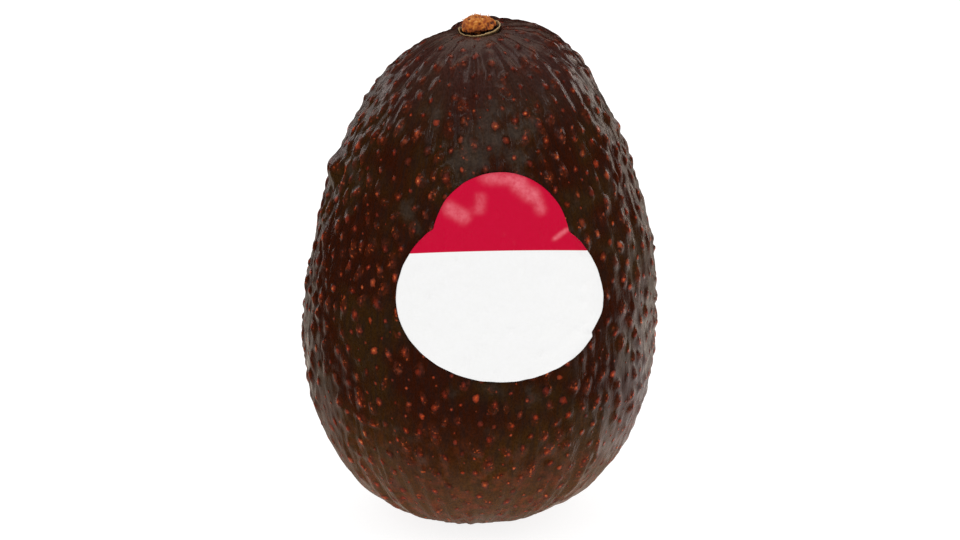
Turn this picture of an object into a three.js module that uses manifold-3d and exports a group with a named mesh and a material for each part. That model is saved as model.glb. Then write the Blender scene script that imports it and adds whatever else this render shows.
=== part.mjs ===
// A whole ripe avocado with dark skin, standing on the small flat spot at its broad end.
// It has its corky stem button in the stem cavity and a blank die-cut paper label on its front.
// Millimetres, +Z up. The origin is the centre of the flat spot, and the label faces -Y.
import * as THREE from "three";
import { mergeVertices } from "three/addons/utils/BufferGeometryUtils.js";
import Module from "manifold-3d";

// Driving dimensions of the fruit
const BELLY_RADIUS = 34;
const BELLY_HEIGHT = 39.4;
const CROWN_HEIGHT = 97;
const FOOT_RADIUS = 7;
const DEPTH_SHARE = 0.97; // front-to-back size against side-to-side size

// Fullness of the outline, as the lengths of its curves' handles
const FOOT_FULLNESS = 2.7;
const LOWER_FULLNESS = 35.4;
const FLANK_FULLNESS = 15;
const CROWN_FULLNESS = 20.4;

// The crown sits to the right of the flat spot, and slopes up to the right and to the back
const CROWN_LEAN = 2.2;
const CROWN_SLOPE = { right: 0.058, back: 0.05 };
const SLOPE_START = 0.8; // share of the height above which the slope sets in

// Stem cavity in the crown, set a little to the left and to the back of the crown's own centre
const CAVITY_RADIUS = 3.75;
const CAVITY_DEPTH = 1.6;
const LIP_WIDTH = 0.9;
const CAVITY_SHIFT = { x: -1.3, y: 1 };
const SHIFT_FADE = [4, 17]; // the shift is full inside the first radius and gone at the second

// Stem button, the corky end of the stalk
const BUTTON_RADIUS = 3.3;
const BUTTON_HEIGHT = 3.8;
const BUTTON_TOP_RADIUS = 1.7;
const BUTTON_FOOT_RADIUS = 1.7;
const BUTTON_WAIST = 0.45; // share of the height at which the button is widest
const BUTTON_SHOULDER = 0.8; // share of the height up to which its side bulges
const BUTTON_BRIM = 0.95; // share of the height at which its broken end begins
const BUTTON_GAP = 0.3;
const BUTTON_LEAN = -0.4;
const BUTTON_EVENNESS = 0.94; // mean size against the smooth knob, before the lumps
const BUTTON_LUMPS = [
  { lobes: 2, share: 0.06, turn: 0.4 },
  { lobes: 3, share: 0.05, turn: 1.9 },
  { lobes: 5, share: 0.03, turn: 0.9 },
];

// Paper label: a wide oval with a round lobe on its upper edge, as seen straight on
const LABEL_WIDTH = 38.6;
const LABEL_UPPER_RISE = 16.8; // height of the oval's upper half
const LABEL_LOWER_DROP = 15.4; // height of its lower half
const LABEL_LOBE_RADIUS = 12.7;
const LABEL_LOBE_RISE = 10.8; // centre of the lobe above the centre of the oval
const LABEL_CENTRE = { x: 4.7, z: 43.3 }; // where the line of sight to the oval's centre meets the plane y = 0
const LABEL_PITCH = THREE.MathUtils.degToRad(20); // the label is cut facing this far above the horizon
const LABEL_TURN = THREE.MathUtils.degToRad(-1); // its slight turn on the skin
const LABEL_GAP = 0.32;
const LABEL_THICKNESS = 0.25;
const LABEL_REACH = 60; // depth of the cut, past the front of the fruit

// Fineness of the faceted solids
const FRUIT_SEGMENTS = 72;
const FRUIT_STEPS = { spot: 3, lower: 17, upper: 24, lip: 3, wall: 2, floor: 2 };
const BUTTON_SEGMENTS = 28;
const BUTTON_STEPS = { foot: 2, flare: 5, side: 6, end: 3 };
const LABEL_STEPS = 40;
const MERGE_DISTANCE = 1e-3;

const wasm = await Module();
wasm.setup();

const skinMaterial = new THREE.MeshStandardMaterial({ color: 0x35190e, roughness: 0.45, metalness: 0 });
const corkMaterial = new THREE.MeshStandardMaterial({ color: 0x9a5526, roughness: 0.9, metalness: 0 });
const paperMaterial = new THREE.MeshStandardMaterial({ color: 0xf6f6f6, roughness: 0.5, metalness: 0 });

const at = (radius, height) => new THREE.Vector2(radius, height);

// Points along a run of curves, each cut into its own number of steps
function outlineOf(stretches) {
  const points = [stretches[0].curve.getPoint(0)];
  for (const { curve, steps } of stretches) points.push(...curve.getSpacedPoints(steps).slice(1));
  return points;
}

// Half outline of the fruit from the flat spot, round the belly and the crown, into the stem cavity
function fruitOutline() {
  const lip = at(CAVITY_RADIUS + LIP_WIDTH, CROWN_HEIGHT);
  const wallTop = at(CAVITY_RADIUS, CROWN_HEIGHT - LIP_WIDTH);
  const floorEdge = at(CAVITY_RADIUS - LIP_WIDTH, CROWN_HEIGHT - CAVITY_DEPTH);
  return outlineOf([
    { curve: new THREE.LineCurve(at(0, 0), at(FOOT_RADIUS, 0)), steps: FRUIT_STEPS.spot },
    {
      curve: new THREE.CubicBezierCurve(
        at(FOOT_RADIUS, 0),
        at(FOOT_RADIUS + FOOT_FULLNESS, 0),
        at(BELLY_RADIUS, BELLY_HEIGHT - LOWER_FULLNESS),
        at(BELLY_RADIUS, BELLY_HEIGHT),
      ),
      steps: FRUIT_STEPS.lower,
    },
    {
      curve: new THREE.CubicBezierCurve(
        at(BELLY_RADIUS, BELLY_HEIGHT),
        at(BELLY_RADIUS, BELLY_HEIGHT + FLANK_FULLNESS),
        at(lip.x + CROWN_FULLNESS, CROWN_HEIGHT),
        lip,
      ),
      steps: FRUIT_STEPS.upper,
    },
    {
      curve: new THREE.QuadraticBezierCurve(lip, at(CAVITY_RADIUS, CROWN_HEIGHT), wallTop),
      steps: FRUIT_STEPS.lip,
    },
    {
      curve: new THREE.QuadraticBezierCurve(wallTop, at(CAVITY_RADIUS, floorEdge.y), floorEdge),
      steps: FRUIT_STEPS.wall,
    },
    { curve: new THREE.LineCurve(floorEdge, at(0, floorEdge.y)), steps: FRUIT_STEPS.floor },
  ]);
}

// Turns an outline about +Z
function turned(outline, segments) {
  return new THREE.LatheGeometry(outline, segments).rotateX(Math.PI / 2);
}

// Moves every vertex of a geometry by a function that changes a point in place
function reshaped(geometry, move) {
  const places = geometry.attributes.position;
  const point = new THREE.Vector3();
  for (let i = 0; i < places.count; i++) {
    move(point.fromBufferAttribute(places, i));
    places.setXYZ(i, point.x, point.y, point.z);
  }
  geometry.computeVertexNormals();
  return geometry;
}

// Leans the fruit, slopes its crown and brings the stem cavity to its place, on one point
function grow(p) {
  const upper = THREE.MathUtils.smoothstep(p.z, BELLY_HEIGHT, CROWN_HEIGHT);
  const inner = 1 - THREE.MathUtils.smoothstep(Math.hypot(p.x, p.y), ...SHIFT_FADE);
  const sloped = THREE.MathUtils.smoothstep(p.z, SLOPE_START * CROWN_HEIGHT, CROWN_HEIGHT);
  p.x += CROWN_LEAN * (p.z / CROWN_HEIGHT) + CAVITY_SHIFT.x * upper * inner;
  p.y = DEPTH_SHARE * p.y + CAVITY_SHIFT.y * upper * inner;
  p.z += sloped * (CROWN_SLOPE.right * p.x + CROWN_SLOPE.back * p.y);
  return p;
}

// The fruit's surface, or one that stands proud of it by a radial growth
function fruitGeometry(growth = 0) {
  const outline = fruitOutline().map((p) => (p.x > 0 ? at(p.x + growth, p.y) : p));
  return reshaped(turned(outline, FRUIT_SEGMENTS), grow);
}

// Stem button: a lumpy knob that narrows to the broken end of the stalk
function buttonGeometry() {
  const foot = at(BUTTON_FOOT_RADIUS, 0);
  const waist = at(BUTTON_RADIUS, BUTTON_HEIGHT * BUTTON_WAIST);
  const brim = at(BUTTON_TOP_RADIUS, BUTTON_HEIGHT * BUTTON_BRIM);
  const outline = outlineOf([
    { curve: new THREE.LineCurve(at(0, 0), foot), steps: BUTTON_STEPS.foot },
    {
      curve: new THREE.QuadraticBezierCurve(foot, at(foot.x, waist.y), waist),
      steps: BUTTON_STEPS.flare,
    },
    {
      curve: new THREE.QuadraticBezierCurve(waist, at(waist.x, BUTTON_HEIGHT * BUTTON_SHOULDER), brim),
      steps: BUTTON_STEPS.side,
    },
    {
      curve: new THREE.QuadraticBezierCurve(brim, at(brim.x / 2, BUTTON_HEIGHT), at(0, BUTTON_HEIGHT)),
      steps: BUTTON_STEPS.end,
    },
  ]);
  return reshaped(turned(outline, BUTTON_SEGMENTS), (p) => {
    const angle = Math.atan2(p.y, p.x);
    const lumps = BUTTON_LUMPS.map((l) => l.share * Math.sin(l.lobes * angle + l.turn));
    const swell = lumps.reduce((sum, lump) => sum + lump, BUTTON_EVENNESS);
    const lean = BUTTON_LEAN * (p.z / BUTTON_HEIGHT) ** 2;
    p.set(p.x * swell + lean, p.y * swell, p.z);
  });
}

// A closed geometry as a solid that can be cut and joined
function solidOf(geometry) {
  const bare = geometry.clone();
  bare.deleteAttribute("normal");
  bare.deleteAttribute("uv");
  const merged = mergeVertices(bare, MERGE_DISTANCE);
  return new wasm.Manifold(
    new wasm.Mesh({
      numProp: 3,
      vertProperties: merged.attributes.position.array,
      triVerts: new Uint32Array(merged.index.array),
    }),
  );
}

// A cut solid as a geometry that can be drawn
function geometryOf(solid) {
  const mesh = solid.getMesh();
  const geometry = new THREE.BufferGeometry();
  geometry.setAttribute("position", new THREE.BufferAttribute(mesh.vertProperties, mesh.numProp));
  geometry.setIndex(new THREE.BufferAttribute(mesh.triVerts, 1));
  geometry.computeVertexNormals();
  return geometry;
}

// A straight cutter of the given flat outline, along the way the label faces
function labelCutter(shape) {
  const prism = new THREE.ExtrudeGeometry(shape, {
    depth: LABEL_REACH,
    bevelEnabled: false,
    curveSegments: LABEL_STEPS,
  });
  return solidOf(
    prism
      .rotateZ(LABEL_TURN)
      .rotateX(Math.PI / 2 - LABEL_PITCH)
      .translate(LABEL_CENTRE.x, 0, LABEL_CENTRE.z),
  );
}

// Label: the part of a thin shell around the fruit that lies inside the label's outline
function labelGeometry() {
  const oval = new THREE.Shape()
    .absellipse(0, 0, LABEL_WIDTH / 2, LABEL_UPPER_RISE, 0, Math.PI)
    .absellipse(0, 0, LABEL_WIDTH / 2, LABEL_LOWER_DROP, Math.PI, 2 * Math.PI);
  const lobe = new THREE.Shape().absarc(0, LABEL_LOBE_RISE, LABEL_LOBE_RADIUS, 0, 2 * Math.PI);
  const outer = solidOf(fruitGeometry(LABEL_GAP + LABEL_THICKNESS));
  const inner = solidOf(fruitGeometry(LABEL_GAP));
  const cutter = labelCutter(oval).add(labelCutter(lobe));
  return geometryOf(cutter.intersect(outer).subtract(inner));
}

function piece(name, geometry, material) {
  const mesh = new THREE.Mesh(geometry, material);
  mesh.name = name;
  return mesh;
}

const avocado = new THREE.Group();
avocado.add(piece("fruit", fruitGeometry(), skinMaterial));

const button = piece("stem_button", buttonGeometry(), corkMaterial);
button.position.copy(grow(new THREE.Vector3(0, 0, CROWN_HEIGHT - CAVITY_DEPTH)));
button.position.z += BUTTON_GAP;
button.rotation.set(CROWN_SLOPE.back, -CROWN_SLOPE.right, 0);
avocado.add(button);

avocado.add(piece("label", labelGeometry(), paperMaterial));

export default avocado;
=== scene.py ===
"""Looks of a whole ripe avocado: pebbled rind, corky stem button in a papery collar, blank paper label."""
import functools
import logging
import math
import random
from collections import defaultdict
from dataclasses import dataclass, field
from enum import Enum

import bmesh
import bpy
from mathutils import Euler, Matrix, Vector, noise
from mathutils.bvhtree import BVHTree
from mathutils.kdtree import KDTree


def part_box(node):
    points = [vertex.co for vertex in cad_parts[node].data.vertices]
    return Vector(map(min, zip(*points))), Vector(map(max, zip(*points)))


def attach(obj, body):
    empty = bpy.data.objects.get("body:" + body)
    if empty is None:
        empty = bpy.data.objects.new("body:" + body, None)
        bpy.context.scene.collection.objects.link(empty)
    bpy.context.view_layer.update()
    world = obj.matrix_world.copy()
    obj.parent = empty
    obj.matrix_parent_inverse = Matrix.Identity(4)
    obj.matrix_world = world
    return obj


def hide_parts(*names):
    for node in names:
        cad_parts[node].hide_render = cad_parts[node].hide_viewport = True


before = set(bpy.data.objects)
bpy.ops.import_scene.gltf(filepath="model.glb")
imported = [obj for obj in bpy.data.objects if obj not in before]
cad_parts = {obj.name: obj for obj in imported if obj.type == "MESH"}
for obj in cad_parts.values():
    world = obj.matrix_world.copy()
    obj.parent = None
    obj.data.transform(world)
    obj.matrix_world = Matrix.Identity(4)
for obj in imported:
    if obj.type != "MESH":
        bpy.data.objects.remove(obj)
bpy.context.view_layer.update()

# A low and a high limit, or two values that belong together, as the field's comment says.
Pair = tuple[float, float]
# A value's low and high limit, and the results that it is eased to at them.
Ease = tuple[float, float, float, float]
# Spacing, length and rise of wrinkles.
Wrinkle = tuple[float, float, float]
# Positions and hex colours of a colour ramp, its two ends first.
Stops = tuple[tuple[float, str], ...]

LOG = logging.getLogger("avocado")
MM = 0.001
BODY = "root"
RIGHT = Vector((1.0, 0.0, 0.0))
BACK = Vector((0.0, 1.0, 0.0))
UP = Vector((0.0, 0.0, 1.0))
WHITE = "#ffffff"
NOISE_ROUGHNESS = 0.55
MERGE_DISTANCE = 0.001 * MM


class Slot(Enum):
    """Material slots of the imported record."""

    SKIN = "skin"
    CORK = "cork"
    LABEL = "label_paper"


class Field(Enum):
    """Values that a mesh carries on its vertices for its finish to read."""

    RELIEF = "relief"
    ZONES = "zones"
    LENTICEL = "lenticel"
    LENTICEL_LOOK = "lenticel_look"
    FLAT = "flat"
    # Nearness to the waxy bloom on the upper front, which is partly a painted reflection of the front
    # lights.
    BLOOM = "bloom"
    COURSE = "course"


class Node(Enum):
    """Shader nodes as the finishes use them: kind, output, inputs in their order, and settings."""

    PLACE = ("ShaderNodeTexCoord", "Object", (), {})
    VALUE_FIELD = ("ShaderNodeAttribute", "Fac", (), {})
    VECTOR_FIELD = ("ShaderNodeAttribute", "Vector", (), {})
    AXES = ("ShaderNodeSeparateXYZ", "X", ("Vector",), {})
    NOISE = ("ShaderNodeTexNoise", "Fac", ("Vector", "Scale", "Detail", "Roughness"), {})
    NOISE_VECTOR = ("ShaderNodeTexNoise", "Color", ("Vector", "Scale", "Detail"), {})
    EASE = (
        "ShaderNodeMapRange",
        "Result",
        ("Value", "From Min", "From Max", "To Min", "To Max"),
        {"interpolation_type": "SMOOTHSTEP"},
    )
    PRODUCT = ("ShaderNodeMath", "Value", ("Value", "Value_001"), {"operation": "MULTIPLY"})
    DIFFERENCE = ("ShaderNodeMath", "Value", ("Value", "Value_001"), {"operation": "SUBTRACT"})
    CLAMPED_SUM = (
        "ShaderNodeMath",
        "Value",
        ("Value", "Value_001"),
        {"operation": "ADD", "use_clamp": True},
    )
    SCALED_SUM = (
        "ShaderNodeMath",
        "Value",
        ("Value", "Value_001", "Value_002"),
        {"operation": "MULTIPLY_ADD"},
    )
    SCALED_VECTOR_SUM = (
        "ShaderNodeVectorMath",
        "Vector",
        ("Vector", "Vector_001", "Vector_002"),
        {"operation": "MULTIPLY_ADD"},
    )
    LENGTH = ("ShaderNodeVectorMath", "Value", ("Vector",), {"operation": "LENGTH"})
    MIX = ("ShaderNodeMix", "Result_Color", ("Factor_Float", "A_Color", "B_Color"), {"data_type": "RGBA"})
    RAMP = ("ShaderNodeValToRGB", "Color", ("Fac",), {})
    BUMP = ("ShaderNodeBump", "Normal", ("Height", "Strength", "Distance", "Normal"), {})
    SHADER = ("ShaderNodeBsdfPrincipled", "BSDF", ("Base Color", "Roughness", "IOR", "Normal"), {})
    GLOWING_SHADER = (
        "ShaderNodeBsdfPrincipled",
        "BSDF",
        ("Base Color", "Roughness", "Specular IOR Level", "Emission Color", "Emission Strength"),
        {},
    )
    SURFACE = ("ShaderNodeOutputMaterial", "Surface", ("Surface",), {})


def linear(hex_colour: str) -> tuple[float, float, float, float]:
    """Turns an sRGB hex colour into a linear one.

    Args:
        hex_colour: Colour such as "#2e150a".

    Returns:
        Linear red, green, blue and an alpha of 1.
    """
    shares = [int(hex_colour[i:i + 2], 16) / 255 for i in (1, 3, 5)]
    red, green, blue = (s / 12.92 if s <= 0.04045 else ((s + 0.055) / 1.055) ** 2.4 for s in shares)
    return red, green, blue, 1.0


def smoothstep(low: float, high: float, value: float) -> float:
    """Eased step from 0 at low to 1 at high."""
    share = min(max((value - low) / (high - low), 0.0), 1.0)
    return share * share * (3.0 - 2.0 * share)


def add_node(
    tree: bpy.types.NodeTree, node: Node, *values: object, stops: Stops = (), **settings: object
) -> bpy.types.NodeSocket:
    """Adds a node with its settings and links.

    Args:
        tree: Node tree that gets the node.
        node: Which node.
        *values: Its inputs in their order, each a socket that is linked, a value or a hex colour.
        stops: Stops of a colour ramp.
        **settings: Further properties of the node.

    Returns:
        The node's output, or its input where it has none.
    """
    kind, out, names, fixed = node.value
    made = tree.nodes.new(kind)
    for name, value in {**fixed, **settings}.items():
        setattr(made, name, value)
    for number, (position, colour) in enumerate(stops):
        ramp = made.color_ramp.elements
        stop = ramp[number] if number < 2 else ramp.new(position)
        stop.position = position
        stop.color = linear(colour)
    for name, value in zip(names, values):
        socket = next(s for s in made.inputs if name in (s.identifier, s.name))
        if isinstance(value, bpy.types.NodeSocket):
            tree.links.new(value, socket)
        else:
            socket.default_value = linear(value) if isinstance(value, str) else value
    return next(s for s in (*made.outputs, *made.inputs) if out in (s.identifier, s.name))


def share_of(tree: bpy.types.NodeTree, *factors: tuple) -> bpy.types.NodeSocket:
    """Multiplies values, each eased first where it comes with limits.

    Args:
        tree: Node tree that gets the nodes.
        *factors: Sockets, each in a tuple with the four numbers of its easing or alone.

    Returns:
        The product.
    """
    eased = [add_node(tree, Node.EASE, value, *limits) if limits else value for value, *limits in factors]
    return functools.reduce(lambda first, second: add_node(tree, Node.PRODUCT, first, second), eased)


def new_material(name: str) -> tuple[bpy.types.Material, bpy.types.NodeTree]:
    """Makes a material with an empty node tree.

    Args:
        name: Name of the real material.

    Returns:
        The material and its tree.
    """
    material = bpy.data.materials.new(name)
    material.use_nodes = True
    material.node_tree.nodes.clear()
    return material, material.node_tree


def new_piece(
    name: str, shape: bmesh.types.BMesh, material: bpy.types.Material
) -> bpy.types.Object:
    """Turns a finished bmesh into a smooth piece that rides on the fruit.

    Args:
        name: Name of the piece.
        shape: Its mesh, in place, which is freed.
        material: Its finish.

    Returns:
        The piece's object, at the origin.
    """
    mesh = bpy.data.meshes.new(name)
    for face in shape.faces:
        face.smooth = True
    shape.to_mesh(mesh)
    shape.free()
    mesh.materials.append(material)
    piece = bpy.data.objects.new(name, mesh)
    bpy.context.scene.collection.objects.link(piece)
    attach(piece, BODY)
    return piece


def cad_shape(node: str) -> bmesh.types.BMesh:
    """Copies a CAD node's mesh with its loose triangles merged.

    Args:
        node: Name of the node.

    Returns:
        A new bmesh.
    """
    shape = bmesh.new()
    shape.from_mesh(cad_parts[node].data)
    bmesh.ops.remove_doubles(shape, verts=shape.verts, dist=MERGE_DISTANCE)
    return shape


def soften(
    shape: bmesh.types.BMesh,
    verts: bmesh.types.BMVertSeq | list[bmesh.types.BMVert],
    rounds: int,
    axes: str = "xyz",
) -> None:
    """Moves vertices towards the middle of their neighbours.

    Args:
        shape: The mesh.
        verts: The vertices that move.
        rounds: How often they do.
        axes: The axes that they move along.
    """
    moved = {f"use_axis_{axis}": axis in axes for axis in "xyz"}
    for _ in range(rounds):
        bmesh.ops.smooth_vert(shape, verts=verts, factor=0.5, **moved)


def meridian(normal: Vector, turn: float) -> tuple[Vector, Vector]:
    """Directions along the fruit's meridian and across it.

    Args:
        normal: Outward normal.
        turn: Angle that they are turned by.

    Returns:
        Unit vectors along and across.
    """
    along = UP - normal * normal.z
    near_pole = along.length <= 0.02
    along = Matrix.Rotation(turn, 3, normal) @ (RIGHT if near_pole else along.normalized())
    return along, normal.cross(along)


@dataclass(frozen=True)
class RindFinish:
    """Ripe avocado rind: grown, waxy and half glossy, dark brown with rust-red corky pores."""

    brown: str = "#331104"
    olive: str = "#352009"
    purple: str = "#452b27"
    # Lighter brown low on the fruit: partly its own tone, partly painted light from the floor below.
    low_brown_and_floor_light: str = "#5e3915"
    blotch_red: str = "#7a3219"
    pebble_red: str = "#56200e"
    # Grey of the waxy bloom, partly a painted reflection of the front lights.
    bloom: str = "#493c31"
    shade: str = "#1c0a03"
    # Painted shade in the stem cavity.
    cavity_shade: str = "#1c0e06"
    speck_red: str = "#b24c1c"
    pale_pore: str = "#a5653f"
    pore_stops: Stops = ((0.0, "#581608"), (1.0, "#ea9450"), (0.3, "#7e2610"), (0.65, "#b8481c"))
    ior: float = 1.39
    # Sizes and details of the noise.
    patch: Pair = (13 * MM, 2.0)
    bloom_and_sheen_noise: Pair = (6.5 * MM, 4.0)
    mottle: Pair = (1.3 * MM, 3.0)
    blotch: Pair = (3.2 * MM, 2.0)
    grain: Pair = (0.45 * MM, 2.0)
    speck: Pair = (0.6 * MM, 1.0)
    streak: Pair = (0.9 * MM, 3.0)
    pore_bend: Pair = (0.8 * MM, 1.0)
    # How much of each layer shows.
    olive_patches: Ease = (0.42, 0.66, 0.0, 1.0)
    low_blotches: Ease = (0.47, 0.66, 0.0, 0.9)
    streak_shade: Ease = (0.45, 0.7, 0.0, 0.35)
    streaks_low: Ease = (0.0, 0.6, 1.0, 0.3)
    streaks_at_crown: Ease = (0.0, 0.5, 1.0, 0.4)
    pebble_tops: Ease = (0.08, 0.38, 0.0, 0.85)
    top_mottles: Ease = (0.4, 0.6, 0.3, 1.0)
    # The waxy bloom's patches, partly a painted reflection of the front lights on the upper front.
    bloom_and_sheen_weight: float = 0.17
    bloom_and_sheen_ease: Ease = (0.58, 0.76, 0.0, 0.45)
    grain_shade: Ease = (0.35, 0.65, 0.0, 0.4)
    speck_spots: Ease = (0.61, 0.72, 0.0, 1.0)
    specks_on_pebbles: Ease = (0.12, 0.42, 0.0, 0.85)
    specks_at_crown: Ease = (0.0, 0.4, 1.0, 0.3)
    # Painted shade round each pore's wart, partly a real darker rim.
    wart_shade: Ease = (0.0, 0.3, 0.0, 0.5)
    # The pores, in shares of each one's radius.
    pore_sway: float = 0.4
    pore_fray: float = 0.5
    pore_body: Ease = (0.7, 1.25, 1.0, 0.0)
    pore_wart: Ease = (0.0, 1.3, 1.0, 0.0)
    pore_heart: Ease = (0.28, 0.75, 0.6, 0.0)
    heart_breaks: Ease = (0.38, 0.62, 0.25, 1.0)
    pore_margin: Ease = (0.65, 1.05, 0.0, 1.0)
    # Roughness, and the strength and height of the bumps.
    streak_roughness: Ease = (0.35, 0.65, 0.16, 0.32)
    bloom_roughness: Ease = (0.0, 0.5, 0.0, 0.14)
    streak_bump: Pair = (0.45, 0.25 * MM)
    grain_bump: Pair = (0.35, 0.12 * MM)
    pore_bump: Pair = (0.4, 0.3 * MM)

    def material(self) -> bpy.types.Material:
        """Builds the rind's material from its fields on the mesh and from noise at real sizes."""
        material, tree = new_material("avocado_rind")
        place = add_node(tree, Node.PLACE)
        relief = add_node(tree, Node.VALUE_FIELD, attribute_name=Field.RELIEF.value)
        near_bloom_and_sheen = add_node(tree, Node.VALUE_FIELD, attribute_name=Field.BLOOM.value)
        course = add_node(tree, Node.VECTOR_FIELD, attribute_name=Field.COURSE.value)
        zones = add_node(tree, Node.VECTOR_FIELD, attribute_name=Field.ZONES.value)
        crown, low, hollow = add_node(tree, Node.AXES, zones).node.outputs
        patches, bloom_and_sheen_noise, mottles, blotches, grains, specks = (
            add_node(tree, Node.NOISE, place, 1.0 / size, detail, NOISE_ROUGHNESS)
            for size, detail in (self.patch, self.bloom_and_sheen_noise, self.mottle, self.blotch, self.grain, self.speck)
        )
        size, detail = self.streak
        streaks = add_node(tree, Node.NOISE, course, 1.0 / size, detail, NOISE_ROUGHNESS)
        bloom_and_sheen_field = add_node(tree, Node.SCALED_SUM, near_bloom_and_sheen, self.bloom_and_sheen_weight, bloom_and_sheen_noise)
        bloom = share_of(tree, (bloom_and_sheen_field, *self.bloom_and_sheen_ease))
        core, wart, pore_colour = self.pores(tree, place, grains, specks)

        layers = (
            (self.olive, (patches, *self.olive_patches)),
            # Lighter low down: partly its own tone, partly painted light from the floor.
            (self.low_brown_and_floor_light, (low,)),
            (self.blotch_red, (blotches, *self.low_blotches), (low,)),
            (
                self.shade,
                (streaks, *self.streak_shade),
                (low, *self.streaks_low),
                (crown, *self.streaks_at_crown),
            ),
            (self.purple, (crown,)),
            (self.pebble_red, (relief, *self.pebble_tops), (mottles, *self.top_mottles)),
            # Waxy bloom, partly a painted reflection of the front lights.
            (self.bloom, (bloom,)),
            (self.shade, (grains, *self.grain_shade)),
            (
                self.speck_red,
                (specks, *self.speck_spots),
                (relief, *self.specks_on_pebbles),
                (crown, *self.specks_at_crown),
            ),
            # Painted shade round each wart, partly a real darker rim.
            (self.shade, (wart, *self.wart_shade)),
            (pore_colour, (core,)),
            # Painted shade in the stem cavity.
            (self.cavity_shade, (hollow,)),
        )
        colour = self.brown
        for layer, *factors in layers:
            colour = add_node(tree, Node.MIX, share_of(tree, *factors), colour, layer)

        roughness = share_of(tree, (streaks, *self.streak_roughness))
        for rough in (share_of(tree, (bloom, *self.bloom_roughness)), hollow):
            roughness = add_node(tree, Node.CLAMPED_SUM, roughness, rough)
        streak_height = share_of(tree, (streaks,), (crown, *self.streaks_at_crown))
        normal = add_node(tree, Node.BUMP, streak_height, *self.streak_bump)
        normal = add_node(tree, Node.BUMP, grains, *self.grain_bump, normal)
        normal = add_node(tree, Node.BUMP, wart, *self.pore_bump, normal)
        add_node(tree, Node.SURFACE, add_node(tree, Node.SHADER, colour, roughness, self.ior, normal))
        return material

    def pores(
        self,
        tree: bpy.types.NodeTree,
        place: bpy.types.NodeSocket,
        grains: bpy.types.NodeSocket,
        specks: bpy.types.NodeSocket,
    ) -> tuple[bpy.types.NodeSocket, bpy.types.NodeSocket, bpy.types.NodeSocket]:
        """Draws the corky pores from each vertex's way to its nearest pore.

        Args:
            tree: The rind's node tree.
            place: Coordinates on the rind.
            grains: Fine noise that frays the pores' edges.
            specks: Noise that breaks up the pores' hearts.

        Returns:
            How much of the surface is pore, the height of its wart, and the pores' colour.
        """
        way = add_node(tree, Node.VECTOR_FIELD, attribute_name=Field.LENTICEL.value)
        look = add_node(tree, Node.VECTOR_FIELD, attribute_name=Field.LENTICEL_LOOK.value)
        tone, strength, pale = add_node(tree, Node.AXES, look).node.outputs
        margin = add_node(tree, Node.AXES, way).node.outputs["Z"]
        size, detail = self.pore_bend
        bends = add_node(tree, Node.NOISE_VECTOR, place, 1.0 / size, detail)
        sway = Vector((self.pore_sway, self.pore_sway, 0.0))
        bent = add_node(tree, Node.SCALED_VECTOR_SUM, bends, 2.0 * sway, -sway)
        flat_way = add_node(tree, Node.SCALED_VECTOR_SUM, way, RIGHT + BACK, bent)
        distance = add_node(tree, Node.LENGTH, flat_way)
        frayed = add_node(tree, Node.SCALED_SUM, grains, self.pore_fray, distance)
        inside = (margin, *self.pore_margin)
        core = share_of(tree, (frayed, *self.pore_body), inside, (strength,))
        wart = share_of(tree, (distance, *self.pore_wart), inside)
        heart = share_of(tree, (frayed, *self.pore_heart), (specks, *self.heart_breaks))
        bright = add_node(tree, Node.CLAMPED_SUM, tone, heart)
        colour = add_node(tree, Node.RAMP, bright, stops=self.pore_stops)
        return core, wart, add_node(tree, Node.MIX, pale, colour, self.pale_pore)


@dataclass(frozen=True)
class Ground:
    """The smooth rind before its relief: its vertices' places and normals, and a drawn order of them."""

    starts: list[Vector]
    outward: list[Vector]
    order: list[int]


@dataclass(frozen=True)
class Pebble:
    """One raised pebble of the rind: a dome, longer one way than the other."""

    place: Vector
    along: Vector
    across: Vector
    height: float

    def rise(self, point: Vector) -> float:
        """Height that the pebble adds at a point."""
        way = point - self.place
        share = way.dot(self.along) ** 2 + way.dot(self.across) ** 2
        return self.height * (1.0 - share) ** 2 if share < 1.0 else 0.0


@dataclass(frozen=True)
class Lenticel:
    """One corky pore of the rind, with the look that it gets in the finish."""

    place: Vector
    along: Vector
    across: Vector
    guard: float
    tone: float
    strength: float
    pale: float


@dataclass
class Sowing:
    """Keeps sown rounds clear of one another, with the help of a grid of cubes."""

    widest: float
    cubes: dict = field(default_factory=lambda: defaultdict(list))

    def take(self, point: Vector, radius: float) -> bool:
        """Sows a round if it's clear of those before.

        Args:
            point: Its centre.
            radius: Its radius, at most the widest.

        Returns:
            True if it was sown.
        """
        x, y, z = (math.floor(c / (2 * self.widest)) for c in point)
        steps = (-1, 0, 1)
        near = (self.cubes.get((x + i, y + j, z + k), ()) for i in steps for j in steps for k in steps)
        if any((other - point).length < radius + taken for cube in near for other, taken in cube):
            return False
        self.cubes[x, y, z].append((point, radius))
        return True


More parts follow.
